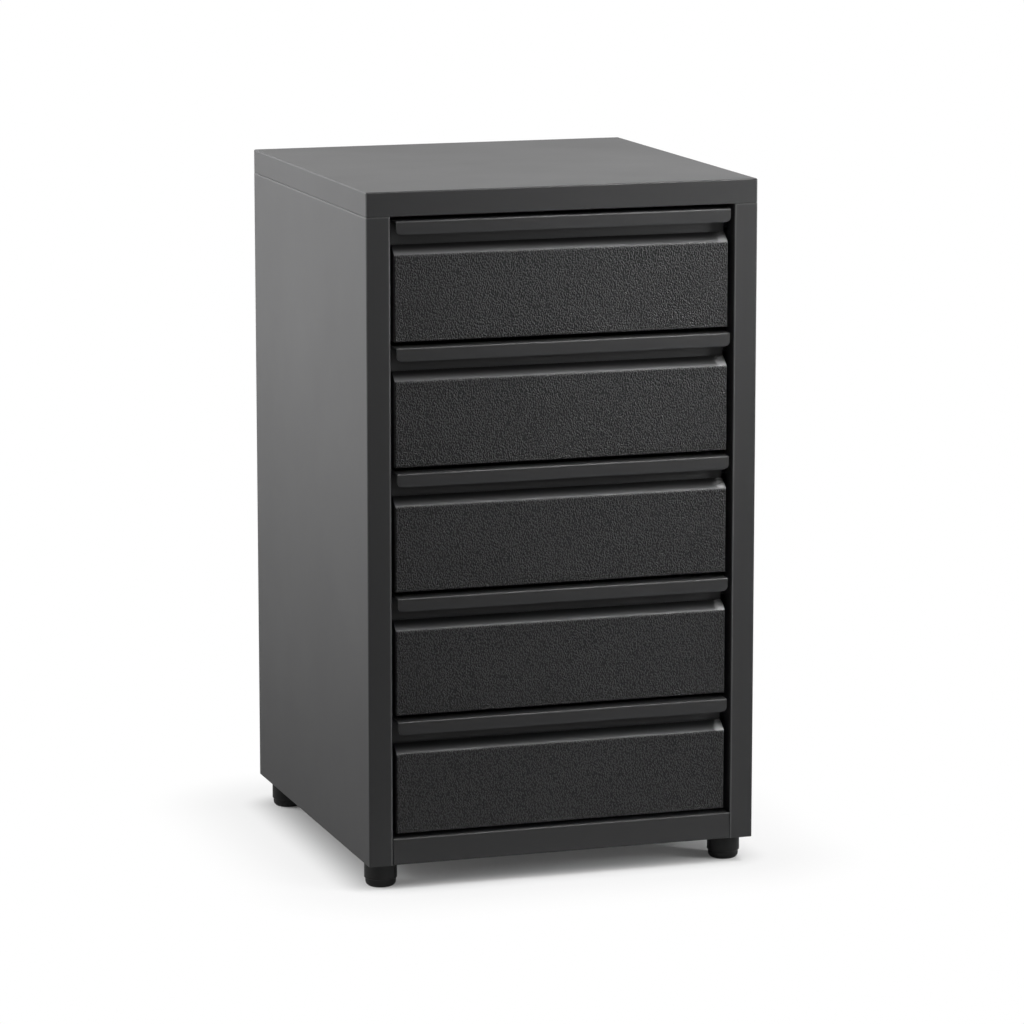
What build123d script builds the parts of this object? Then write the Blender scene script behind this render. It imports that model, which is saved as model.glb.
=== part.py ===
from build123d import *
import os

# A five-drawer cabinet of folded sheet steel, in millimetres.
# The front faces -Y, +X is to the right seen from the front, and the feet stand on Z = 0.

# Overall size of the carcass
width = 290.0
depth = 300.0
height = 500.0

# Sheet steel and its folds
sheet = 1.0
inside_bend = 0.25
slip = 0.2  # gap between sheets that slide together before they are welded
weld_root = 0.25  # depth to which a welded or lanced plate reaches into the sheet it joins

# Lid
lid_height = 17.5
lid_return = 12.0  # flange turned in under the skirt
lid_corner_radius = 1.5
lid_edge_radius = 1.2
lid_seam_chamfer = 0.4

# Sides
stile_width = 17.6
jamb_depth = 15.0
rear_flange = 14.0
shelf_flange = 8.0  # flanges turned in at the top and the bottom of a side

# Base pan
rail_height = 19.3
rail_return = 12.0

# Feet, pushed into the base pan
foot_height = 19.0
foot_radius = 11.8
foot_sole_radius = 9.0
foot_taper = 5.5  # height of the tapered tip
foot_side_inset = 14.4
foot_front_inset = 21.3
foot_rear_inset = 29.0
stem_radius = 3.5
barb_radius = 4.6
barb_height = 4.0
stem_play = 0.1

# Drawers
drawer_count = 5
drawer_hold = 62.3  # length of a tray that stays behind the front when it is pulled out
top_gap = 3.1  # lid to the first pull
drawer_gap = 3.6
bottom_gap = 2.9
bottom_trim = 3.1  # the lowest front is this much shorter than the others

# Pulls
pull_sheet = 1.0
pull_proud = 2.0  # lip in front of the stiles
pull_lip = 9.4
pull_lip_radius = 3.7
pull_side_gap = 3.6
pull_leg_lift = 11.0  # end of the leg above the lower edge of the panel

# Front panels
panel_setback = 2.5  # behind the stiles
panel_thickness = 10.0
panel_side_gap = 3.7
panel_top_drop = 25.0  # lip top to the upper edge of the grained face
bevel_rise = 7.2
bevel_run = 8.3
panel_edge_radius = 1.0
panel_back_chamfer = 1.5

# Trays
tray_rear_gap = 22.0  # tray to the back panel
rim_drop = 12.0  # lip top to the rim
tray_lift = 6.0  # underside of the tray above the lower edge of its front
flange_width = 11.5
wall_hem = 6.0  # upper edge of the front wall, turned to the rear
flange_play = 1.5  # between a flange and the jamb it passes

# Runners, pads and glides
runner_height = 10.0  # clear height inside the channel
runner_play = 1.0  # between a runner and the wall of the tray
pad_length = 20.0
pad_thickness = 1.2
pad_width = 8.0
ride_gap = 0.3  # flange above its pad, and glide clear of its channel
glide_length = 24.0
glide_wall = 1.0  # nylon outside the flange's edge
glide_chamfer = 2.0
glide_grip = 0.05  # play of the flange in the glide's slot
stop_drop = 4.0  # lanced stop below the upper leg
stop_width = 6.0
stop_play = 0.3

# Snap hooks that hold a front panel on its drawer
hook_side_inset = 35.0  # from the panel's ends, upper edge and lower edge
hook_top_inset = 14.0
hook_bottom_inset = 19.0
hook_width = 10.0
hook_thickness = 3.0
hook_barb = 1.2
hook_tip = 4.0  # length of the barbed end behind the tray's wall

# Planes that follow from the sizes above
half_width = width / 2
front = pull_proud - (depth + pull_proud) / 2
rear = front + depth
back_face = rear - sheet
back_front_face = back_face - sheet
middle = (front + rear) / 2
side_top = height - lid_height
floor_top = foot_height + sheet
rail_top = foot_height + rail_height
opening_half = half_width - stile_width
opening_height = side_top - rail_top
fronts_height = opening_height - top_gap - bottom_gap + drawer_gap + bottom_trim
drawer_pitch = fronts_height / drawer_count
front_height = drawer_pitch - drawer_gap
wall_inside = half_width - sheet
jamb_end = front + jamb_depth
inner_end = back_front_face - slip

# Depths of the pieces behind one another in a drawer front
lip_face = front - pull_proud
panel_face = front + panel_setback
panel_back = panel_face + panel_thickness
leg_back = panel_back + pull_sheet
tray_front = leg_back
tray_rear = back_front_face - tray_rear_gap
tray_length = tray_rear - tray_front
drawer_travel = tray_length - drawer_hold
glide_front = tray_rear - glide_length

# Widths of the panel, the tray and its runners
panel_half = opening_half - panel_side_gap
flange_half = opening_half - flange_play
tray_half = flange_half - flange_width
tray_inside = tray_half - sheet
runner_tip = tray_half + runner_play
runner_front = jamb_end + runner_play
on_base = (Align.CENTER, Align.CENTER, Align.MIN)  # a solid placed by the middle of its underside


def block(x_range, y_range, z_range):
    """A block between two positions on each axis."""
    sizes = [far - near for near, far in (x_range, y_range, z_range)]
    corner = Pos(x_range[0], y_range[0], z_range[0])
    return corner * Box(*sizes, align=(Align.MIN, Align.MIN, Align.MIN))


def folded(points, plane, length, gauge=sheet):
    """Sheet folded along a line of points and laid on the right of that line."""
    line = FilletPolyline(*points, radius=inside_bend + gauge)
    outline = offset(line, amount=gauge, side=Side.RIGHT)
    return extrude(plane * make_face(outline), amount=length)


def lip_top(number):
    """Height of the top of a drawer's pull, counted from the uppermost drawer."""
    return side_top - top_gap - (number - 1) * drawer_pitch


def front_bottom(number):
    """Height of the lower edge of a drawer's front panel."""
    trim = bottom_trim if number == drawer_count else 0
    return lip_top(number) - front_height + trim


def panel_crest(number):
    """Height of the upper edge of a drawer's front panel, at the back of its bevel."""
    return lip_top(number) - panel_top_drop + bevel_rise


def rim_height(number):
    """Height of the upper face of a tray's flanges."""
    return lip_top(number) - rim_drop


def tray_floor(number):
    """Height of the floor inside a tray."""
    return lip_top(number) - front_height + tray_lift + sheet


def channel_floor(number):
    """Height of the face inside a runner on which the pad lies."""
    return rim_height(number) - sheet - ride_gap - pad_thickness


def foot_places():
    """Centre of each foot: the front pair, then the rear pair, left before right."""
    x = half_width - foot_side_inset
    rows = (front + foot_front_inset, rear - foot_rear_inset)
    return [(side * x, y) for y in rows for side in (-1, 1)]


def hook_places(number):
    """Positions of the hooks behind a drawer's front panel."""
    x = panel_half - hook_side_inset
    upper = panel_crest(number) - hook_top_inset
    lower = lip_top(number) - front_height + hook_bottom_inset
    return [(side * x, z) for side in (-1, 1) for z in (upper, lower)]


def hook_slot(x, z, y_range):
    """Opening that lets a hook through one sheet."""
    half_w = hook_width / 2 + slip
    half_t = hook_thickness / 2 + slip
    return block((x - half_w, x + half_w), y_range, (z - half_t, z + half_t))


def hook(x, z):
    """Prong with a barb that springs out behind the tray's front wall."""
    catch = tray_front + sheet + slip
    tip = catch + hook_tip
    upper = z + hook_thickness / 2
    lower = z - hook_thickness / 2
    outline = [
        (panel_back, lower),
        (tip, lower),
        (tip, upper - hook_barb),
        (catch, upper + hook_barb),
        (catch, upper),
        (panel_back, upper),
    ]
    section = make_face(Plane.YZ * Polyline(*outline, close=True))
    return extrude(Pos(x - hook_width / 2, 0, 0) * section, amount=hook_width, dir=(1, 0, 0))


def make_lid():
    """Lid: a pan with a skirt on four sides and a return flange under the skirt."""
    base = Pos(0, middle, side_top)
    pan = extrude(RectangleRounded(width, depth, lid_corner_radius), amount=lid_height)
    pan = fillet(pan.edges().group_by(Axis.Z)[-1], lid_edge_radius)
    pan = chamfer(pan.edges().group_by(Axis.Z)[0], lid_seam_chamfer)
    hollow = Box(width - 2 * sheet, depth - 2 * sheet, lid_height - 2 * sheet, align=on_base)
    mouth = Box(width - 2 * lid_return, depth - 2 * lid_return, sheet, align=on_base)
    return base * (pan - Pos(0, 0, sheet) * hollow - mouth)


def make_left_side():
    """Side: stile and jamb folded at the front, flange at the back, shelf flanges inside."""
    jamb = -opening_half
    wall = -half_width
    line = [(jamb, jamb_end), (jamb, front), (wall, front), (wall, rear), (wall + rear_flange, rear)]
    side = folded(line, Plane.XY.offset(foot_height), side_top - foot_height)
    shelf_x = (wall + sheet - weld_root, wall + sheet + shelf_flange)
    shelf_y = (jamb_end + slip, inner_end)
    side += block(shelf_x, shelf_y, (side_top - sheet, side_top))
    return side + block(shelf_x, shelf_y, (floor_top, floor_top + sheet))


def make_back_panel():
    """Back panel: a flat sheet in front of the rear flanges."""
    half = wall_inside - inside_bend
    return block((-half, half), (back_front_face, back_face), (foot_height, side_top))


def make_base_pan():
    """Base pan: front rail and floor in one fold, with wings of floor beside the stiles."""
    half = opening_half - slip
    line = [
        (back_front_face, rail_top),
        (back_front_face, foot_height),
        (front, foot_height),
        (front, rail_top),
        (front + rail_return, rail_top),
    ]
    pan = folded(line, Plane.YZ.offset(-half), 2 * half)
    wing_y = (jamb_end + slip, inner_end)
    for side in (-1, 1):
        wing_x = sorted((side * (half - sheet), side * (wall_inside - slip)))
        pan += block(wing_x, wing_y, (foot_height, floor_top))
    for x, y in foot_places():
        pan -= Pos(x, y, foot_height) * Cylinder(stem_radius + stem_play, sheet, align=on_base)
    return pan


def make_left_runner(number):
    """Runner: a channel welded to the side, with a front stop and a rear end stop."""
    low = channel_floor(number)
    high = low + runner_height
    bottom = low - sheet
    top = high + sheet
    line = [(-runner_tip, bottom), (-wall_inside, bottom), (-wall_inside, top), (-runner_tip, top)]
    runner = folded(line, Plane.XZ.offset(-inner_end), inner_end - runner_front)
    stop_x = (-runner_tip - stop_width, -runner_tip)
    stop_rear = glide_front - drawer_travel - stop_play
    runner += block(stop_x, (stop_rear - sheet, stop_rear), (high - stop_drop, high + weld_root))
    end_front = tray_rear + stop_play
    runner += block(stop_x, (end_front, end_front + sheet), (low - weld_root, high + weld_root))
    return runner


def make_runner_pads():
    """Nylon pads on the lower legs, one at the front end of each runner."""
    pads = []
    for number in range(1, drawer_count + 1):
        low = channel_floor(number)
        for side in (-1, 1):
            pad_x = sorted((side * runner_tip, side * (runner_tip + pad_width)))
            pad_y = (runner_front, runner_front + pad_length)
            pads.append(block(pad_x, pad_y, (low, low + pad_thickness)))
    return Compound(children=pads)


def make_feet():
    """Feet: four rubber stubs with tapered tips, their barbed stems through the base pan."""
    catch = floor_top + stem_play
    outline = [
        (0, 0),
        (foot_sole_radius, 0),
        (foot_radius, foot_taper),
        (foot_radius, foot_height),
        (stem_radius, foot_height),
        (stem_radius, catch),
        (barb_radius, catch),
        (stem_radius, catch + barb_height),
        (0, catch + barb_height),
    ]
    section = make_face(Plane.XZ * Polyline(*outline, close=True))
    foot = revolve(section, axis=Axis.Z)
    return Compound(children=[Pos(x, y, 0) * foot for x, y in foot_places()])


def make_tray(number):
    """Tray: floor and sides in one fold, with flanges turned out at the rim."""
    rim = rim_height(number)
    floor = tray_floor(number)
    line = [
        (-flange_half, rim),
        (-tray_inside, rim),
        (-tray_inside, floor),
        (tray_inside, floor),
        (tray_inside, rim),
        (flange_half, rim),
    ]
    return folded(line, Plane.XZ.offset(-tray_rear), tray_length)


def clear_of_bends(wall):
    """An end wall with its lower corners cut off, to sit in the bends of the tray."""
    lowest = wall.edges().filter_by(Axis.Y).group_by(Axis.Z)[0]
    return chamfer(lowest, inside_bend + sheet)


def make_front_wall(number):
    """Front wall of a tray: welded in between the sides, its upper edge turned to the rear."""
    rim = rim_height(number)
    line = [(tray_front, tray_floor(number)), (tray_front, rim), (tray_front + wall_hem, rim)]
    wall = clear_of_bends(folded(line, Plane.YZ.offset(-tray_inside), 2 * tray_inside))
    for x, z in hook_places(number):
        wall -= hook_slot(x, z, (tray_front, tray_front + sheet))
    return wall


def make_back_wall(number):
    """Back wall of a tray: a flat sheet welded in between the sides."""
    wall_z = (tray_floor(number), rim_height(number))
    wall = block((-tray_inside, tray_inside), (tray_rear - sheet, tray_rear), wall_z)
    return clear_of_bends(wall)


def make_pull(number):
    """Pull: strip folded into a lip, a top and a leg behind the panel."""
    top = lip_top(number)
    half = opening_half - pull_side_gap
    leg_end = top - front_height + pull_leg_lift
    line = [(lip_face, top - pull_lip), (lip_face, top), (leg_back, top), (leg_back, leg_end)]
    pull = folded(line, Plane.YZ.offset(-half), 2 * half, pull_sheet)
    corners = pull.edges().filter_by(Axis.Y).filter_by(lambda edge: edge.center().Y < front)
    pull = fillet(corners, pull_lip_radius)
    for x, z in hook_places(number):
        pull -= hook_slot(x, z, (panel_back, leg_back))
    return pull


def make_front(number):
    """Front panel: bevelled at the top under the lip, rounded along its edges, hooked at the back."""
    bottom = front_bottom(number)
    crest = panel_crest(number)
    arris = crest - bevel_rise
    outline = [
        (panel_face, bottom),
        (panel_face, arris),
        (panel_face + bevel_run, crest),
        (panel_back, crest),
        (panel_back, bottom),
    ]
    section = make_face(Plane.YZ * Polyline(*outline, close=True))
    panel = extrude(Pos(-panel_half, 0, 0) * section, amount=2 * panel_half, dir=(1, 0, 0))
    back_edge = panel.edges().filter_by(Axis.X).group_by(Axis.Y)[-1].sort_by(Axis.Z)[-1]
    panel = chamfer(back_edge, panel_back_chamfer)
    face = panel.faces().sort_by(Axis.Y)[0]
    panel = fillet(face.edges(), panel_edge_radius)
    for x, z in hook_places(number):
        panel += hook(x, z)
    return panel


def make_left_glide(number):
    """Glide: a nylon shoe gripped on the rear end of a flange."""
    low = channel_floor(number) + ride_gap
    high = channel_floor(number) + runner_height - ride_gap
    outer = -flange_half - glide_wall
    inner = -runner_tip - ride_gap
    shoe = block((outer, inner), (glide_front, tray_rear), (low, high))
    shoe = chamfer(shoe.edges().filter_by(Axis.Z), glide_chamfer)
    rim = rim_height(number)
    slot_z = (rim - sheet - glide_grip, rim + glide_grip)
    return shoe - block((-flange_half - glide_grip, inner), (glide_front, tray_rear), slot_z)


def carcass_pieces():
    """Every piece that stands still, by name."""
    left = make_left_side()
    pieces = {
        "lid": make_lid(),
        "left_side": left,
        "right_side": mirror(left, about=Plane.YZ),
        "back_panel": make_back_panel(),
        "base_pan": make_base_pan(),
        "feet": make_feet(),
        "runner_pads": make_runner_pads(),
    }
    for number in range(1, drawer_count + 1):
        runner = make_left_runner(number)
        pieces[f"left_runner_{number}"] = runner
        pieces[f"right_runner_{number}"] = mirror(runner, about=Plane.YZ)
    return pieces


def drawer_pieces(number):
    """Every piece of one drawer, by name."""
    glide = make_left_glide(number)
    return {
        f"drawer_{number}_tray": make_tray(number),
        f"drawer_{number}_front_wall": make_front_wall(number),
        f"drawer_{number}_back_wall": make_back_wall(number),
        f"drawer_{number}_pull": make_pull(number),
        f"drawer_{number}_front": make_front(number),
        f"drawer_{number}_left_glide": glide,
        f"drawer_{number}_right_glide": mirror(glide, about=Plane.YZ),
    }


def main():
    """Build every piece and write one file for each."""
    os.makedirs("parts", exist_ok=True)
    pieces = carcass_pieces()
    for number in range(1, drawer_count + 1):
        pieces.update(drawer_pieces(number))
    for name, piece in pieces.items():
        piece.label = name
        export_step(piece, f"parts/{name}.step")


if __name__ == "__main__":
    main()
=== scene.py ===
"""Dresses the five-drawer steel cabinet and sets a plain studio around it."""

import logging
import math
from collections.abc import Iterable, Mapping, Sequence
from dataclasses import dataclass, field
from enum import Enum

import bmesh
import bpy
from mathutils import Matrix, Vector, noise


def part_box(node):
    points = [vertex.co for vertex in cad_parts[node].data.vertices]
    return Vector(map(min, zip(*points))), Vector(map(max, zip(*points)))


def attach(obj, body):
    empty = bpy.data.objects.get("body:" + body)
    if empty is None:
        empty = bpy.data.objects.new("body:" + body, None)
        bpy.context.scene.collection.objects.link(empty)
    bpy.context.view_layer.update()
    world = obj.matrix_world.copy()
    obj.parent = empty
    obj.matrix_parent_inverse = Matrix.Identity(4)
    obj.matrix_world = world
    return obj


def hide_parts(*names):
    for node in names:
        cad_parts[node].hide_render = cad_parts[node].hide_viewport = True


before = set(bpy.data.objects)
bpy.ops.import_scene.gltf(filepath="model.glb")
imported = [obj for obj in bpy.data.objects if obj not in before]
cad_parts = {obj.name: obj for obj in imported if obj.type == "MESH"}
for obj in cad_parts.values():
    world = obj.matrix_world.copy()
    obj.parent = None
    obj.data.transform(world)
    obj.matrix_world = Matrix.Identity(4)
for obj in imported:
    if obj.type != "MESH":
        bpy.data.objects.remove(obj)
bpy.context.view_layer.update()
LOG = logging.getLogger("cabinet")

Colour = tuple[float, float, float]
Point = tuple[float, float, float]
Span = tuple[float, float]

WHITE: Colour = (1.0, 1.0, 1.0)
STEEL_GREY: Colour = (0.028, 0.028, 0.0285)
SATIN_INDEX = 1.34
NOISE_MEAN = 0.5
RIGHT_ANGLE = math.radians(90)
SHARP_ANGLE = math.radians(40)


class Slot(Enum):
    """Material slots of the part's record."""

    CARCASS = "carcass_paint"
    PULL = "pull_paint"
    TRAY = "tray_paint"
    FRONT = "front_grain"
    RUNNER = "runner_paint"
    NYLON = "nylon"
    FOOT = "foot_rubber"


class Ray(Enum):
    """Kinds of ray that see the studio as plain white."""

    CAMERA = "Is Camera Ray"
    GLOSSY = "Is Glossy Ray"
    TRANSMISSION = "Is Transmission Ray"


def shade(colour: Colour, factor: float) -> Colour:
    """A colour made lighter or darker by a factor."""
    red, green, blue = colour
    return (red * factor, green * factor, blue * factor)


def opaque(colour: Colour) -> tuple[float, float, float, float]:
    """A colour with full cover, as colour sockets take it."""
    return (*colour, 1.0)


class Field:
    """A value that varies over a surface: one node output with Python's operators."""

    def __init__(self, shader: "Shader", socket: bpy.types.NodeSocket) -> None:
        """Keeps the output and the shader that it belongs to."""
        self.shader = shader
        self.socket = socket

    def maths(self, operation: str, *operands: "Field | float") -> "Field":
        """Adds one Math node.

        Args:
            operation: Name of the Math node's operation.
            operands: Values of its sockets, in order.

        Returns:
            The node's result.
        """
        inputs = dict(enumerate(operands))
        node = self.shader.node("ShaderNodeMath", {"operation": operation}, inputs)
        return Field(self.shader, node.outputs[0])

    def __add__(self, other: "Field | float") -> "Field":
        """Sum with a value on the right."""
        return self.maths("ADD", self, other)

    def __radd__(self, other: float) -> "Field":
        """Sum with a number on the left."""
        return self.maths("ADD", other, self)

    def __sub__(self, other: "Field | float") -> "Field":
        """Difference with a value on the right."""
        return self.maths("SUBTRACT", self, other)

    def __rsub__(self, other: float) -> "Field":
        """Difference from a number on the left."""
        return self.maths("SUBTRACT", other, self)

    def __mul__(self, other: "Field | float") -> "Field":
        """Product with a value on the right."""
        return self.maths("MULTIPLY", self, other)

    def __rmul__(self, other: float) -> "Field":
        """Product with a number on the left."""
        return self.maths("MULTIPLY", other, self)

    def __pow__(self, exponent: float) -> "Field":
        """Power with a number as exponent."""
        return self.maths("POWER", self, exponent)

    def __abs__(self) -> "Field":
        """Value without its sign."""
        return self.maths("ABSOLUTE", self)

    def largest(self, other: "Field | float") -> "Field":
        """The larger of two values."""
        return self.maths("MAXIMUM", self, other)

    def swing(self, width: float) -> "Field":
        """Noise brought to swing about 0, as wide as given in all."""
        return (self - NOISE_MEAN) * width

    def ramp(self, low: float, high: float) -> "Field":
        """Smooth step.

        Args:
            low: Value that gives 0.
            high: Value that gives 1.

        Returns:
            The step, between 0 and 1.
        """
        settings = {"interpolation_type": "SMOOTHSTEP"}
        inputs = {"Value": self, "From Min": low, "From Max": high}
        node = self.shader.node("ShaderNodeMapRange", settings, inputs)
        return Field(self.shader, node.outputs["Result"])


Link = Field | bpy.types.NodeSocket | float | Sequence[float]


class Shader:
    """Node tree of a material or of the world, written as expressions."""

    def __init__(self, tree: bpy.types.NodeTree) -> None:
        """Starts from an empty tree."""
        self.tree = tree
        tree.nodes.clear()

    def node(
        self,
        kind: str,
        settings: Mapping[str, object] | None = None,
        inputs: Mapping[str | int, Link] | None = None,
    ) -> bpy.types.Node:
        """Adds one node.

        Args:
            kind: Type of the node.
            settings: The node's own settings, set before its sockets.
            inputs: Value or link of each socket, by identifier, name or place.

        Returns:
            The new node.
        """
        node = self.tree.nodes.new(kind)
        for name, value in (settings or {}).items():
            setattr(node, name, value)
        for key, value in (inputs or {}).items():
            named = [socket for socket in node.inputs if socket.identifier == key]
            socket = named[0] if named else node.inputs[key]
            source = value.socket if isinstance(value, Field) else value
            if isinstance(source, bpy.types.NodeSocket):
                self.tree.links.new(source, socket)
            else:
                socket.default_value = source
        return node

    def place(self) -> bpy.types.NodeSocket:
        """Position in the part's own frame, in metres."""
        return self.node("ShaderNodeTexCoord").outputs["Object"]

    def parts(self, place: Link) -> tuple[Field, ...]:
        """Parts of a position or direction along X, Y and Z."""
        node = self.node("ShaderNodeSeparateXYZ", None, {"Vector": place})
        return tuple(Field(self, node.outputs[axis]) for axis in "XYZ")

    def noise(self, place: Link, size: float, detail: float = 3.0, fineness: float = 0.5) -> Field:
        """Soft noise between 0 and 1.

        Args:
            place: Position to read the noise at.
            size: Size of its largest patches, in units of the position.
            detail: Number of finer octaves.
            fineness: Weight of the finer octaves.

        Returns:
            The noise.
        """
        inputs = {"Vector": place, "Scale": 1 / size, "Detail": detail, "Roughness": fineness}
        return Field(self, self.node("ShaderNodeTexNoise", None, inputs).outputs["Fac"])

    def blend(self, low: Colour, high: Colour, share: Field) -> bpy.types.NodeSocket:
        """Colour between two colours.

        Args:
            low: Colour where the share is 0.
            high: Colour where the share is 1.
            share: Place between the two.

        Returns:
            The mixed colour.
        """
        inputs = {"Factor_Float": share, "A_Color": opaque(low), "B_Color": opaque(high)}
        node = self.node("ShaderNodeMix", {"data_type": "RGBA"}, inputs)
        return next(socket for socket in node.outputs if socket.identifier == "Result_Color")

    def bump(self, height: Field, depth: float) -> bpy.types.NodeSocket:
        """Normal of a surface with fine relief.

        Args:
            height: Relief between 0 and 1.
            depth: Depth of the relief in metres.

        Returns:
            The bent normal.
        """
        node = self.node("ShaderNodeBump", None, {"Height": height, "Distance": depth})
        return node.outputs["Normal"]


@dataclass(frozen=True)
class Finish:
    """What all finishes share: the record's slot, a colour and a roughness."""

    slot: Slot
    colour: Colour
    roughness: float

    def sockets(self, shader: Shader) -> dict[str, Link]:
        """Sockets of the surface, which each finish gives in its own way."""
        raise NotImplementedError

    def make(self) -> bpy.types.Material:
        """Makes the material.

        Returns:
            The material, named after its slot.
        """
        material = bpy.data.materials.new(self.slot.value)
        material.use_nodes = True
        shader = Shader(material.node_tree)
        surface = shader.node("ShaderNodeBsdfPrincipled", None, self.sockets(shader))
        shader.node("ShaderNodeOutputMaterial", None, {"Surface": surface.outputs["BSDF"]})
        return material


@dataclass(frozen=True)
class PowderCoat(Finish):
    """Satin powder coat: fine orange peel and faint clouds of handling."""

    gloss_index: float = SATIN_INDEX
    peel_size: float = 0.0011
    peel_depth: float = 0.000012
    cloud_size: float = 0.14
    cloud_detail: float = 4.0
    cloud_fineness: float = 0.6
    cloud_shade: float = 0.07
    cloud_roughness: float = 0.1

    def sockets(self, shader: Shader) -> dict[str, Link]:
        """Sockets of the coated surface.

        Args:
            shader: Tree that the nodes go into.

        Returns:
            Value or link of each socket.
        """
        place = shader.place()
        cloud = shader.noise(place, self.cloud_size, self.cloud_detail, self.cloud_fineness)
        peel = shader.noise(place, self.peel_size)
        low = shade(self.colour, 1 - self.cloud_shade)
        high = shade(self.colour, 1 + self.cloud_shade)
        return {
            "Base Color": shader.blend(low, high, cloud),
            "Roughness": self.roughness + cloud.swing(self.cloud_roughness),
            "IOR": self.gloss_index,
            "Normal": shader.bump(peel, self.peel_depth),
        }


@dataclass(frozen=True)
class EdgedCoat(PowderCoat):
    """Powder coat with painted highlights: thin lighter lines in its colour.

    The painted highlights follow the stiles' inner bends, the lid's side folds and the rim below the
    lid, where these edges would catch the light.
    """

    # How much lighter the painted highlight lines are than the coat.
    highlight_shade: float = 3.0
    soft: float = 0.0004
    bend: float = 0.1281
    bend_half: float = 0.0005
    bend_front: float = -0.149
    bend_top: float = 0.4818
    lid_top: float = 0.5
    lid_half: float = 0.145
    fold: Span = (0.0008, 0.0012)
    fold_share: float = 0.35
    rim: float = 0.482
    rim_half: float = 0.0003
    rim_share: float = 0.5

    def sockets(self, shader: Shader) -> dict[str, Link]:
        """Sockets of the coat with its painted highlight lines.

        Args:
            shader: Tree that the nodes go into.

        Returns:
            Value or link of each socket.
        """
        coat = super().sockets(shader)
        across, along, height = shader.parts(shader.place())
        beside = abs(abs(across) - self.bend).ramp(self.bend_half, self.bend_half + self.soft)
        behind = along.ramp(self.bend_front, self.bend_front + self.soft)
        above = height.ramp(self.bend_top, self.bend_top + self.soft)
        bends = (1 - beside) * (1 - behind) * (1 - above)
        folds = 1 - (self.lid_half - abs(across) + (self.lid_top - height)).ramp(*self.fold)
        rim = 1 - abs(height - self.rim).ramp(self.rim_half, self.rim_half + self.soft)
        # Painted highlight: the colour is lighter in thin lines along the stiles' inner bends, the
        # lid's side folds and the rim below the lid.
        painted_highlight = bends.largest(folds * self.fold_share).largest(rim * self.rim_share)
        highlight_colour = shade(self.colour, self.highlight_shade)
        return coat | {"Base Color": shader.blend(self.colour, highlight_colour, painted_highlight)}


@dataclass(frozen=True)
class RubbedCoat(PowderCoat):
    """Powder coat that the glides have rubbed thin in streaks along the runner."""

    bare_colour: Colour = (0.2, 0.2, 0.205)
    bare_roughness: float = 0.3
    bare_metal: float = 0.8
    streak_size: float = 0.0016
    streak_stretch: float = 40.0
    streak_edge: Span = (0.56, 0.74)

    def sockets(self, shader: Shader) -> dict[str, Link]:
        """Sockets of the rubbed surface.

        Args:
            shader: Tree that the nodes go into.

        Returns:
            Value or link of each socket.
        """
        coat = super().sockets(shader)
        along = shader.node(
            "ShaderNodeMapping",
            None,
            {"Vector": shader.place(), "Scale": (1.0, 1 / self.streak_stretch, 1.0)},
        )
        bare = shader.noise(along.outputs[0], self.streak_size).ramp(*self.streak_edge)
        return coat | {
            "Base Color": shader.blend(self.colour, self.bare_colour, bare),
            "Roughness": self.roughness + bare * (self.bare_roughness - self.roughness),
            "Metallic": bare * self.bare_metal,
        }


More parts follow.
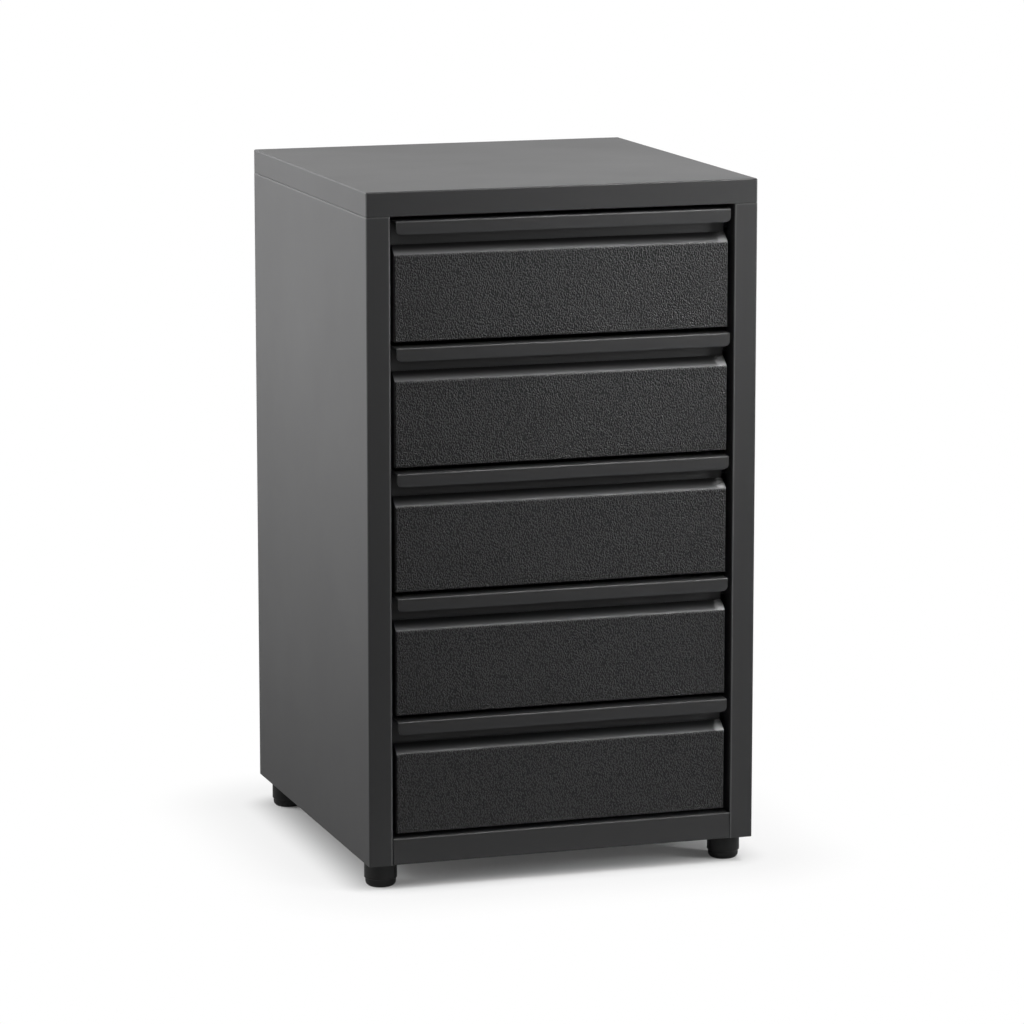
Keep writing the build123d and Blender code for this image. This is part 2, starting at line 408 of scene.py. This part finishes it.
@dataclass(frozen=True)
class LeatherGrain(Finish):
    """Moulded plastic with a fine leather grain of small, slanted pebbles.

    The grain covers the face and fades out over the arris. The bevel behind it is smooth; its colour
    is painted light at the arris and dark in the crease below the pull, a painted highlight and
    painted shade, and its coat is glossy only near the arris.
    """

    gloss_index: float = SATIN_INDEX
    pebble_width: float = 0.0009
    pebble_length: float = 0.0015
    pebble_softness: float = 0.35
    pebble_flank: Span = (0.25, 0.85)
    slant: float = math.radians(24)
    wander_size: float = 0.006
    wander: float = 0.0018
    depth: float = 0.0004
    # Painted shade in the grain's pits and painted light on the pebble tops, as factors on the
    # colour.
    pit_painted_shade: float = 0.45
    top_painted_light: float = 1.4
    pit_roughness: float = 0.12
    dust_size: float = 0.03
    dust_detail: float = 4.0
    dust_roughness: float = 0.08
    face: float = -0.1465
    fade: Span = (0.0003, 0.0014)
    recess: Span = (0.0003, 0.0076)
    recess_power: float = 1.4
    # Painted highlight at the arris and painted shade in the crease, as factors on the colour.
    arris_highlight_shade: float = 3.8
    crease_painted_shade: float = 0.3
    bevel_roughness: float = 0.38
    bevel_gloss: float = 1.0
    bevel_gloss_roughness: float = 0.34

    def pebbles(self, shader: Shader, place: Link) -> Field:
        """Lays out the pebbles.

        Args:
            shader: Tree that the nodes go into.
            place: Position on the panel.

        Returns:
            Height of the grain, 0 in the creases and 1 on the pebbles.
        """
        drift = shader.node(
            "ShaderNodeTexNoise",
            None,
            {"Vector": place, "Scale": 1 / self.wander_size},
        )
        centred = shader.node(
            "ShaderNodeVectorMath",
            {"operation": "SUBTRACT"},
            {0: drift.outputs["Color"], 1: (NOISE_MEAN,) * 3},
        )
        moved = shader.node(
            "ShaderNodeVectorMath",
            {"operation": "MULTIPLY_ADD"},
            {0: centred.outputs[0], 1: (self.wander,) * 3, 2: place},
        )
        turned = shader.node(
            "ShaderNodeMapping",
            {"vector_type": "TEXTURE"},
            {
                "Vector": moved.outputs[0],
                "Rotation": (0.0, self.slant, 0.0),
                "Scale": (self.pebble_width, self.pebble_width, self.pebble_length),
            },
        )
        cells = shader.node(
            "ShaderNodeTexVoronoi",
            {"feature": "SMOOTH_F1"},
            {
                "Vector": turned.outputs[0],
                "Scale": 1.0,
                "Smoothness": self.pebble_softness,
                "Randomness": 1.0,
            },
        )
        return (1 - Field(shader, cells.outputs["Distance"])).ramp(*self.pebble_flank)

    def sockets(self, shader: Shader) -> dict[str, Link]:
        """Sockets of the grained face and the smooth bevel.

        Args:
            shader: Tree that the nodes go into.

        Returns:
            Value or link of each socket.
        """
        place = shader.place()
        top = self.pebbles(shader, place)
        _, along, _ = shader.parts(place)
        behind = along - self.face
        smooth = behind.ramp(*self.fade)
        # Painted highlight and shade on the bevel: 1 at the arris, falling to 0 in the crease with
        # depth behind the face. It also keeps the coat near the arris.
        painted_arris_light = (1 - behind.ramp(*self.recess)) ** self.recess_power
        dust = shader.noise(place, self.dust_size, self.dust_detail)
        # Colours of the painted shade in the crease and the painted highlight at the arris.
        low = shade(self.colour, self.crease_painted_shade)
        high = shade(self.colour, self.arris_highlight_shade)
        span = self.arris_highlight_shade - self.crease_painted_shade
        # Where the grain's painted shade and painted light fall between the crease and arris
        # colours.
        pit = (self.pit_painted_shade - self.crease_painted_shade) / span
        raised = pit + top * ((self.top_painted_light - self.pit_painted_shade) / span)
        pitted = self.roughness + (1 - top) * self.pit_roughness
        grained = pitted + dust.swing(self.dust_roughness)
        return {
            "Base Color": shader.blend(low, high, raised + (painted_arris_light - raised) * smooth),
            "Roughness": grained + (self.bevel_roughness - grained) * smooth,
            "IOR": self.gloss_index,
            "Coat Weight": smooth * painted_arris_light * self.bevel_gloss,
            "Coat Roughness": self.bevel_gloss_roughness,
            "Normal": shader.bump(top * (1 - smooth), self.depth),
        }


@dataclass(frozen=True)
class MouldedNylon(Finish):
    """Black nylon: waxy, with faint flow marks and rubbed patches."""

    flow_size: float = 0.008
    flow_shades: Span = (0.9, 1.05)
    flow_roughness: float = 0.15
    grain_size: float = 0.0005
    grain_detail: float = 1.0
    grain_depth: float = 0.000008

    def sockets(self, shader: Shader) -> dict[str, Link]:
        """Sockets of the nylon surface.

        Args:
            shader: Tree that the nodes go into.

        Returns:
            Value or link of each socket.
        """
        place = shader.place()
        flow = shader.noise(place, self.flow_size)
        grain = shader.noise(place, self.grain_size, self.grain_detail)
        low, high = (shade(self.colour, factor) for factor in self.flow_shades)
        return {
            "Base Color": shader.blend(low, high, flow),
            "Roughness": self.roughness + flow.swing(self.flow_roughness),
            "Normal": shader.bump(grain, self.grain_depth),
        }


@dataclass(frozen=True)
class MouldedRubber(Finish):
    """Black rubber: matt, faintly pitted, dusty towards the sole."""

    gloss_index: float = SATIN_INDEX
    pit_size: float = 0.0007
    pit_depth: float = 0.00002
    patch_size: float = 0.005
    patch_roughness: float = 0.14
    dust_colour: Colour = (0.012, 0.012, 0.012)
    dust_height: float = 0.006
    dust_roughness: float = 0.2

    def sockets(self, shader: Shader) -> dict[str, Link]:
        """Sockets of the rubber surface.

        Args:
            shader: Tree that the nodes go into.

        Returns:
            Value or link of each socket.
        """
        place = shader.place()
        _, _, height = shader.parts(place)
        pits = shader.noise(place, self.pit_size)
        patches = shader.noise(place, self.patch_size)
        dust = (1 - height.ramp(0.0, self.dust_height)) * patches
        worn = self.roughness + patches.swing(self.patch_roughness)
        return {
            "Base Color": shader.blend(self.colour, self.dust_colour, dust),
            "Roughness": worn + dust * self.dust_roughness,
            "IOR": self.gloss_index,
            "Normal": shader.bump(pits, self.pit_depth),
        }


FINISHES: tuple[Finish, ...] = (
    EdgedCoat(Slot.CARCASS, STEEL_GREY, roughness=0.42),
    PowderCoat(Slot.PULL, (0.0255, 0.0255, 0.026), roughness=0.40),
    PowderCoat(Slot.TRAY, STEEL_GREY, roughness=0.45),
    LeatherGrain(Slot.FRONT, (0.025, 0.025, 0.0255), roughness=0.44),
    RubbedCoat(Slot.RUNNER, STEEL_GREY, roughness=0.45),
    MouldedNylon(Slot.NYLON, (0.02, 0.02, 0.02), roughness=0.45),
    MouldedRubber(Slot.FOOT, (0.008, 0.008, 0.008), roughness=0.5),
)


class Dresser:
    """Keeps the finished materials, puts them on pieces and notes each piece."""

    def __init__(self, finishes: Iterable[Finish]) -> None:
        """Makes every material once."""
        self.materials = {finish.slot: finish.make() for finish in finishes}
        self.notes: list[str] = []

    def cad(self, slot: Slot, *nodes: str) -> None:
        """Puts a finish on CAD nodes.

        Args:
            slot: Finish to use.
            nodes: Names of the nodes.
        """
        for name in nodes:
            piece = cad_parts[name]
            piece.data.materials.clear()
            piece.data.materials.append(self.materials[slot])
            self.notes.append(f"{name} keeps its CAD shape, finish {slot.value}")

    def mesh(
        self,
        mesh: bmesh.types.BMesh,
        name: str,
        slot: Slot,
        body: str,
        *nodes: str,
    ) -> None:
        """Turns a built mesh into a piece that stands for CAD nodes.

        Args:
            mesh: Faces of the piece, in metres in the part's frame. It is freed.
            name: Name of the piece.
            slot: Finish to use.
            body: CAD body that carries the piece.
            nodes: CAD nodes that it stands for.
        """
        bmesh.ops.recalc_face_normals(mesh, faces=mesh.faces)
        data = bpy.data.meshes.new(name)
        mesh.to_mesh(data)
        mesh.free()
        data.shade_smooth()
        data.set_sharp_from_angle(angle=SHARP_ANGLE)
        data.materials.append(self.materials[slot])
        piece = bpy.data.objects.new(name, data)
        bpy.context.scene.collection.objects.link(piece)
        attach(piece, body)
        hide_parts(*nodes)
        self.notes.append(f"{name} stands for {', '.join(nodes)}, finish {slot.value}")


def quarter(radius: float, steps: int) -> list[tuple[float, float]]:
    """Quarter circle that rounds an edge between two faces.

    Args:
        radius: Radius of the rounding.
        steps: Number of straight pieces.

    Returns:
        Distance from the one face and from the other at each point, from the full radius from
        the one to the full radius from the other.
    """
    points = []
    for step in range(steps + 1):
        angle = RIGHT_ANGLE * step / steps
        points.append((radius * (1 - math.sin(angle)), radius * (1 - math.cos(angle))))
    return points


def loft(mesh: bmesh.types.BMesh, rows: Sequence[Sequence[bmesh.types.BMVert]]) -> None:
    """Closes a solid from closed sections that follow one another.

    Args:
        mesh: Mesh that the points belong to.
        rows: Points of each section, in the same order.
    """
    for near, far in zip(rows, rows[1:]):
        for index in range(len(near)):
            following = (index + 1) % len(near)
            mesh.faces.new((near[index], near[following], far[following], far[index]))
    mesh.faces.new(rows[0])
    mesh.faces.new(rows[-1])


def turn(
    mesh: bmesh.types.BMesh,
    outline: Sequence[tuple[float, float]],
    base: Vector,
    turns: int,
) -> None:
    """Turns a half section about an upright line.

    Args:
        mesh: Mesh to add it to.
        outline: Radius and height of each point, with radius 0 at both ends.
        base: Foot of the line.
        turns: Number of faces around.
    """
    lower = mesh.verts.new(base + Vector((0.0, 0.0, outline[0][1])))
    upper = mesh.verts.new(base + Vector((0.0, 0.0, outline[-1][1])))
    rings = []
    for radius, height in outline[1:-1]:
        ring = []
        for step in range(turns):
            angle = 2 * math.pi * step / turns
            offset = Vector((radius * math.cos(angle), radius * math.sin(angle), height))
            ring.append(mesh.verts.new(base + offset))
        rings.append(ring)
    for near, far in zip(rings, rings[1:]):
        for step in range(turns):
            following = (step + 1) % turns
            mesh.faces.new((near[step], near[following], far[following], far[step]))
    for step in range(turns):
        following = (step + 1) % turns
        mesh.faces.new((lower, rings[0][following], rings[0][step]))
        mesh.faces.new((upper, rings[-1][step], rings[-1][following]))


@dataclass
class Carcass:
    """Welded case with its runners, pads and feet."""

    drawers: int = 5
    foot_radius: float = 0.0118
    waist_radius: float = 0.0111
    waist_top: float = 0.0064
    waist_bottom: float = 0.0056
    tip_radius: float = 0.011
    tip_rounding: float = 0.0036
    tip_steps: int = 8
    seat: float = 0.019
    rim_rounding: float = 0.0005
    stem_radius: float = 0.0035
    barb_radius: float = 0.0046
    barb_foot: float = 0.0201
    turns: int = 72
    body: str = "carcass"

    def build(self, dresser: Dresser) -> None:
        """Dresses the case and builds its feet.

        Args:
            dresser: Keeper of the finishes.
        """
        dresser.cad(Slot.CARCASS, "lid", "left_side", "right_side", "back_panel", "base_pan")
        for number in range(1, self.drawers + 1):
            dresser.cad(Slot.RUNNER, f"left_runner_{number}", f"right_runner_{number}")
        dresser.cad(Slot.NYLON, "runner_pads")
        dresser.mesh(self.feet(), "rubber_feet", Slot.FOOT, self.body, "feet")

    def foot_outline(self) -> list[tuple[float, float]]:
        """Half section of a foot.

        Returns:
            Radius and height of each point, from the sole up to the end of the stem.
        """
        _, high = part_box("feet")
        points = [(0.0, 0.0)]
        for inset, rise in quarter(self.tip_rounding, self.tip_steps):
            points.append((self.tip_radius - inset, rise))
        return points + [
            (self.waist_radius, self.waist_bottom),
            (self.foot_radius - self.rim_rounding, self.waist_top - self.rim_rounding),
            (self.foot_radius, self.waist_top),
            (self.foot_radius, self.seat - self.rim_rounding),
            (self.foot_radius - self.rim_rounding, self.seat),
            (self.stem_radius, self.seat),
            (self.stem_radius, self.barb_foot),
            (self.barb_radius, self.barb_foot),
            (self.stem_radius, high.z),
            (0.0, high.z),
        ]

    def feet(self) -> bmesh.types.BMesh:
        """Turns the four feet.

        Returns:
            One mesh with four closed feet.
        """
        mesh = bmesh.new()
        low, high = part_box("feet")
        outline = self.foot_outline()
        for x in (low.x + self.foot_radius, high.x - self.foot_radius):
            for y in (low.y + self.foot_radius, high.y - self.foot_radius):
                turn(mesh, outline, Vector((x, y, 0.0)), self.turns)
        return mesh


@dataclass
class Drawer:
    """One drawer: folded tray and pull, nylon glides and a grained front panel."""

    number: int
    thickness: float = 0.010
    bevel_rise: float = 0.0072
    bevel_run: float = 0.0083
    bevel_shares: tuple[float, ...] = (0.35, 0.7, 1.0)
    edge: float = 0.001
    arris_rounding: float = 0.0022
    back_chamfer: float = 0.0015
    arc_steps: int = 6
    column_pitch: float = 0.005
    row_pitch: float = 0.005
    fewest_rows: int = 2
    swell: float = 0.00012
    swell_size: float = 0.045
    hook_side_inset: float = 0.035
    hook_top_inset: float = 0.014
    hook_bottom_inset: float = 0.019
    hook_width: float = 0.010
    hook_thickness: float = 0.003
    hook_barb: float = 0.0012
    hook_catch: float = 0.0022
    body: str = field(init=False)

    def __post_init__(self) -> None:
        """Names the body that carries the drawer."""
        self.body = f"drawer_{self.number}"

    def build(self, dresser: Dresser) -> None:
        """Dresses the folded pieces and builds the front panel.

        Args:
            dresser: Keeper of the finishes.
        """
        name = self.body
        dresser.cad(Slot.TRAY, f"{name}_tray", f"{name}_front_wall", f"{name}_back_wall")
        dresser.cad(Slot.PULL, f"{name}_pull")
        dresser.cad(Slot.NYLON, f"{name}_left_glide", f"{name}_right_glide")
        panel = self.front()
        dresser.mesh(panel, f"{name}_grained_front", Slot.FRONT, self.body, f"{name}_front")

    def section(self) -> list[tuple[float, float, bool]]:
        """Cross-section of the panel, from its lower back edge round the face to the upper one.

        Returns:
            Depth and height of each point, and whether the ends of the panel are rounded there.
        """
        low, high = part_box(f"{self.body}_front")
        face, bottom, crest = low.y, low.z, high.z
        back = face + self.thickness
        arris = crest - self.bevel_rise
        lean = math.atan2(self.bevel_run, self.bevel_rise)
        points = [(back, bottom, False)]
        for inset, rise in quarter(self.edge, self.arc_steps):
            points.append((face + inset, bottom + rise, True))
        start = bottom + self.edge
        stop = arris - self.arris_rounding * math.tan(lean / 2)
        rows = max(self.fewest_rows, round((stop - start) / self.row_pitch))
        for row in range(1, rows):
            points.append((face, start + (stop - start) * row / rows, True))
        for step in range(self.arc_steps + 1):
            angle = lean * step / self.arc_steps
            y = face + self.arris_rounding * (1 - math.cos(angle))
            z = stop + self.arris_rounding * math.sin(angle)
            points.append((y, z, True))
        for share in self.bevel_shares:
            y = face + self.bevel_run * share
            z = arris + self.bevel_rise * share
            points.append((y, z, False))
        points.append((back - self.back_chamfer, crest, False))
        points.append((back, crest - self.back_chamfer, False))
        return points

    def columns(self) -> list[tuple[float, float]]:
        """Stations along the panel.

        Returns:
            Position along X and depth lost to the rounded ends, at each station.
        """
        low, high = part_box(f"{self.body}_front")
        ends = quarter(self.edge, self.arc_steps)
        length = high.x - low.x
        count = round(length / self.column_pitch)
        left = [(low.x + inset, loss) for loss, inset in ends]
        middle = [(low.x + length * column / count, 0.0) for column in range(1, count)]
        right = [(high.x - inset, loss) for loss, inset in reversed(ends)]
        return left + middle + right

    def front(self) -> bmesh.types.BMesh:
        """Builds the grained front panel with its hooks.

        Returns:
            The closed panel and four closed hooks.
        """
        mesh = bmesh.new()
        low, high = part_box(f"{self.body}_front")
        section = self.section()
        face = low.y
        rows = []
        for x, loss in self.columns():
            row = []
            for y, z, rounded in section:
                wave = noise.noise(Vector((x, self.number, z)) / self.swell_size)
                flat = rounded and loss == 0 and y == face
                dip = self.swell * (1 + wave) / 2 if flat else 0.0
                depth = max(y, face + loss) + dip if rounded else y
                row.append(mesh.verts.new((x, depth, z)))
            rows.append(row)
        loft(mesh, rows)
        back = face + self.thickness
        for x in (low.x + self.hook_side_inset, high.x - self.hook_side_inset):
            for z in (high.z - self.hook_top_inset, low.z + self.hook_bottom_inset):
                self.hook(mesh, x, z, back, high.y)
        return mesh

    def hook(self, mesh: bmesh.types.BMesh, x: float, z: float, root: float, tip: float) -> None:
        """Adds one snap hook behind the panel.

        Args:
            mesh: Mesh to add it to.
            x: Middle of the hook across the drawer.
            z: Middle of its height.
            root: Depth of the panel's back.
            tip: Depth of the hook's end.
        """
        upper = z + self.hook_thickness / 2
        lower = z - self.hook_thickness / 2
        catch = root + self.hook_catch
        outline = [
            (root, lower),
            (tip, lower),
            (tip, upper - self.hook_barb),
            (catch, upper + self.hook_barb),
            (catch, upper),
            (root, upper),
        ]
        rows = []
        for side in (x - self.hook_width / 2, x + self.hook_width / 2):
            rows.append([mesh.verts.new((side, y, height)) for y, height in outline])
        loft(mesh, rows)


@dataclass(frozen=True)
class Lamp:
    """A soft rectangular lamp, with a grid that narrows its spread.

    The spread is in degrees. A lamp that isn't mirrored lights the cabinet without showing in
    its satin coat, where it would glare in some views.
    """

    name: str
    place: Point
    aim: Point
    size: Span
    power: float
    spread: float = 180.0
    mirrored: bool = True

    def build(self) -> None:
        """Hangs the lamp, out of the camera's sight, and turns it to its aim."""
        light = bpy.data.lights.new(self.name, "AREA")
        light.shape = "RECTANGLE"
        light.size, light.size_y = self.size
        light.energy = self.power
        light.spread = math.radians(self.spread)
        lamp = bpy.data.objects.new(self.name, light)
        lamp.location = self.place
        heading = Vector(self.aim) - Vector(self.place)
        lamp.rotation_euler = heading.to_track_quat("-Z", "Y").to_euler()
        lamp.visible_camera = False
        lamp.visible_glossy = self.mirrored
        bpy.context.scene.collection.objects.link(lamp)


MIRRORED_LAMPS: tuple[Lamp, ...] = (
    Lamp("overhead", (0.4, -1.0, 1.6), (0.0, -0.15, 0.28), (0.5, 0.5), 0.95, 60.0),
    Lamp("right_above", (0.5, -0.6, 1.5), (0.15, -0.15, 0.45), (0.3, 0.3), 0.62, 30.0),
    Lamp("front_right", (1.1, -2.1, 0.75), (0.0, -0.15, 0.3), (0.6, 0.6), 3.8),
    Lamp("right_near", (0.6, -0.5, 0.485), (0.14, -0.15, 0.44), (0.2, 0.2), 0.29, 50.0),
)
UNMIRRORED_LAMPS: tuple[Lamp, ...] = (
    Lamp("right_low", (0.9, -0.75, 0.4), (0.24, -0.15, 0.14), (0.3, 0.3), 0.34, 30.0, False),
    Lamp("left_high", (-0.25, -0.7, 0.85), (-0.05, -0.15, 0.52), (0.3, 0.3), 0.18, 40.0, False),
    Lamp("left_top", (-1.5, 0.2, 0.8), (-0.145, 0.0, 0.56), (0.6, 0.4), 3.6, 36.0, False),
    Lamp("left_fill", (-1.9, 0.9, 1.1), (-0.14, 0.0, 0.4), (2.4, 1.6), 57.0, 180.0, False),
)


@dataclass
class Studio:
    """Pale floor, white surroundings, soft lamps and the camera.

    The floor shows the light and shade that fall on it under the cabinet and turns to plain
    white around it: core_share is the share of plain white under the core of the footprint,
    near_share the share at near_reach from the core, and all is white where the halo ends.
    The shadow under the cabinet is real shade; how far it reaches and how softly it fades are
    painted by these shares, and shade beyond the halo is not shown.
    """

    floor_half: float = 20.0
    floor_colour: Colour = (0.6, 0.6, 0.6)
    core: Span = (0.126, 0.122)
    core_share: float = 0.06
    near_share: float = 0.8
    near_reach: float = 0.042
    halo: Span = (0.02, 0.12)
    mirror_reach: Span = (0.4, 3.0)
    dim_front: Span = (-1.6, -0.5)
    dim_sky: Span = (-0.5, 0.2)
    ambient: float = 0.08
    lamps: tuple[Lamp, ...] = MIRRORED_LAMPS + UNMIRRORED_LAMPS
    aim: Point = (0.0, 0.001, 0.2595)
    azimuth: float = math.radians(-18.03)
    elevation: float = math.radians(10.414)
    distance: float = 3.503
    aside: float = 0.00962
    above: float = -0.01803
    lens: float = 166.55
    sensor_width: float = 36.0

    def build(self) -> None:
        """Sets up the whole studio."""
        bpy.context.scene.view_settings.view_transform = "Standard"
        self.floor()
        self.surroundings()
        for lamp in self.lamps:
            lamp.build()
        self.camera()

    def rays(self, shader: Shader) -> tuple[Field, Field]:
        """Masks of the rays that see the studio as plain white.

        Args:
            shader: Tree that the nodes go into.

        Returns:
            1 for rays from the camera or through glass, and 1 for rays off a gloss.
        """
        path = shader.node("ShaderNodeLightPath")
        camera, glossy, through = (Field(shader, path.outputs[ray.value]) for ray in Ray)
        return camera.largest(through), glossy

    def floor(self) -> None:
        """Lays the floor."""
        mesh = bmesh.new()
        bmesh.ops.create_grid(mesh, x_segments=1, y_segments=1, size=self.floor_half)
        data = bpy.data.meshes.new("floor")
        mesh.to_mesh(data)
        mesh.free()
        data.materials.append(self.floor_finish())
        floor = bpy.data.objects.new("floor", data)
        bpy.context.scene.collection.objects.link(floor)

    def floor_finish(self) -> bpy.types.Material:
        """Makes the floor's material: lit and shaded at the cabinet, plain white further off.

        Returns:
            The material.
        """
        material = bpy.data.materials.new("floor_white")
        material.use_nodes = True
        shader = Shader(material.node_tree)
        place = shader.place()
        _, along, _ = shader.parts(place)
        reach = self.reach(shader, place)
        # Painted shadow edge: the real lit shade shows under the cabinet, and how far it reaches and
        # how softly it fades are set by these shares of plain white.
        near = reach.ramp(0.0, self.near_reach)
        far = reach.ramp(*self.halo)
        nearer = self.core_share + near * (self.near_share - self.core_share)
        share = nearer + far * (1 - self.near_share)
        length = shader.node("ShaderNodeVectorMath", {"operation": "LENGTH"}, {0: place})
        distance = Field(shader, length.outputs["Value"])
        seen, glossy = self.rays(shader)
        mirrored = glossy * distance.ramp(*self.mirror_reach) * along.ramp(*self.dim_front)
        lit = shader.node("ShaderNodeBsdfDiffuse", None, {"Color": opaque(self.floor_colour)})
        plain = shader.node("ShaderNodeEmission", None, {"Color": opaque(WHITE), "Strength": 1.0})
        inputs = {0: (seen * share).largest(mirrored), 1: lit.outputs[0], 2: plain.outputs[0]}
        mixed = shader.node("ShaderNodeMixShader", None, inputs)
        shader.node("ShaderNodeOutputMaterial", None, {"Surface": mixed.outputs[0]})
        return material

    def reach(self, shader: Shader, place: Link) -> Field:
        """Distance on the floor from the core of the cabinet's footprint.

        Args:
            shader: Tree that the nodes go into.
            place: Position on the floor.

        Returns:
            The distance in metres, 0 inside the core.
        """
        across, along, _ = shader.parts(place)
        outside_x = (abs(across) - self.core[0]).largest(0.0)
        outside_y = (abs(along) - self.core[1]).largest(0.0)
        return (outside_x ** 2 + outside_y ** 2) ** 0.5

    def surroundings(self) -> None:
        """Makes the world white to the eye and in reflections, dim in front of the cabinet."""
        world = bpy.data.worlds.new("surroundings")
        world.use_nodes = True
        bpy.context.scene.world = world
        shader = Shader(world.node_tree)
        soft, white = (
            shader.node("ShaderNodeBackground", None, {"Color": opaque(WHITE), "Strength": strength})
            for strength in (self.ambient, 1.0)
        )
        heading = shader.node("ShaderNodeTexCoord").outputs["Generated"]
        _, back, _ = shader.parts(heading)
        seen, glossy = self.rays(shader)
        share = seen.largest(glossy * back.ramp(*self.dim_sky))
        inputs = {0: share, 1: soft.outputs[0], 2: white.outputs[0]}
        mixed = shader.node("ShaderNodeMixShader", None, inputs)
        shader.node("ShaderNodeOutputWorld", None, {"Surface": mixed.outputs[0]})

    def camera(self) -> None:
        """Sets the camera at the photograph's angle."""
        level = math.cos(self.elevation)
        x = math.sin(self.azimuth) * level
        y = -math.cos(self.azimuth) * level
        back = Vector((x, y, math.sin(self.elevation)))
        heading = back.to_track_quat("Z", "Y")
        right = heading @ Vector((1.0, 0.0, 0.0))
        upward = heading @ Vector((0.0, 1.0, 0.0))
        lens = bpy.data.cameras.new("camera")
        lens.sensor_width = self.sensor_width
        lens.lens = self.lens
        camera = bpy.data.objects.new("camera", lens)
        centre = Vector(self.aim) + right * self.aside + upward * self.above
        camera.location = centre + back * self.distance
        camera.rotation_euler = heading.to_euler()
        bpy.context.scene.collection.objects.link(camera)
        bpy.context.scene.camera = camera


def main() -> None:
    """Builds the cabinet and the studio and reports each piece."""
    logging.basicConfig(level=logging.INFO, format="%(message)s")
    dresser = Dresser(FINISHES)
    carcass = Carcass()
    carcass.build(dresser)
    for number in range(1, carcass.drawers + 1):
        Drawer(number).build(dresser)
    for note in dresser.notes:
        LOG.info(note)
    Studio().build()


if __name__ == "__main__":
    main()
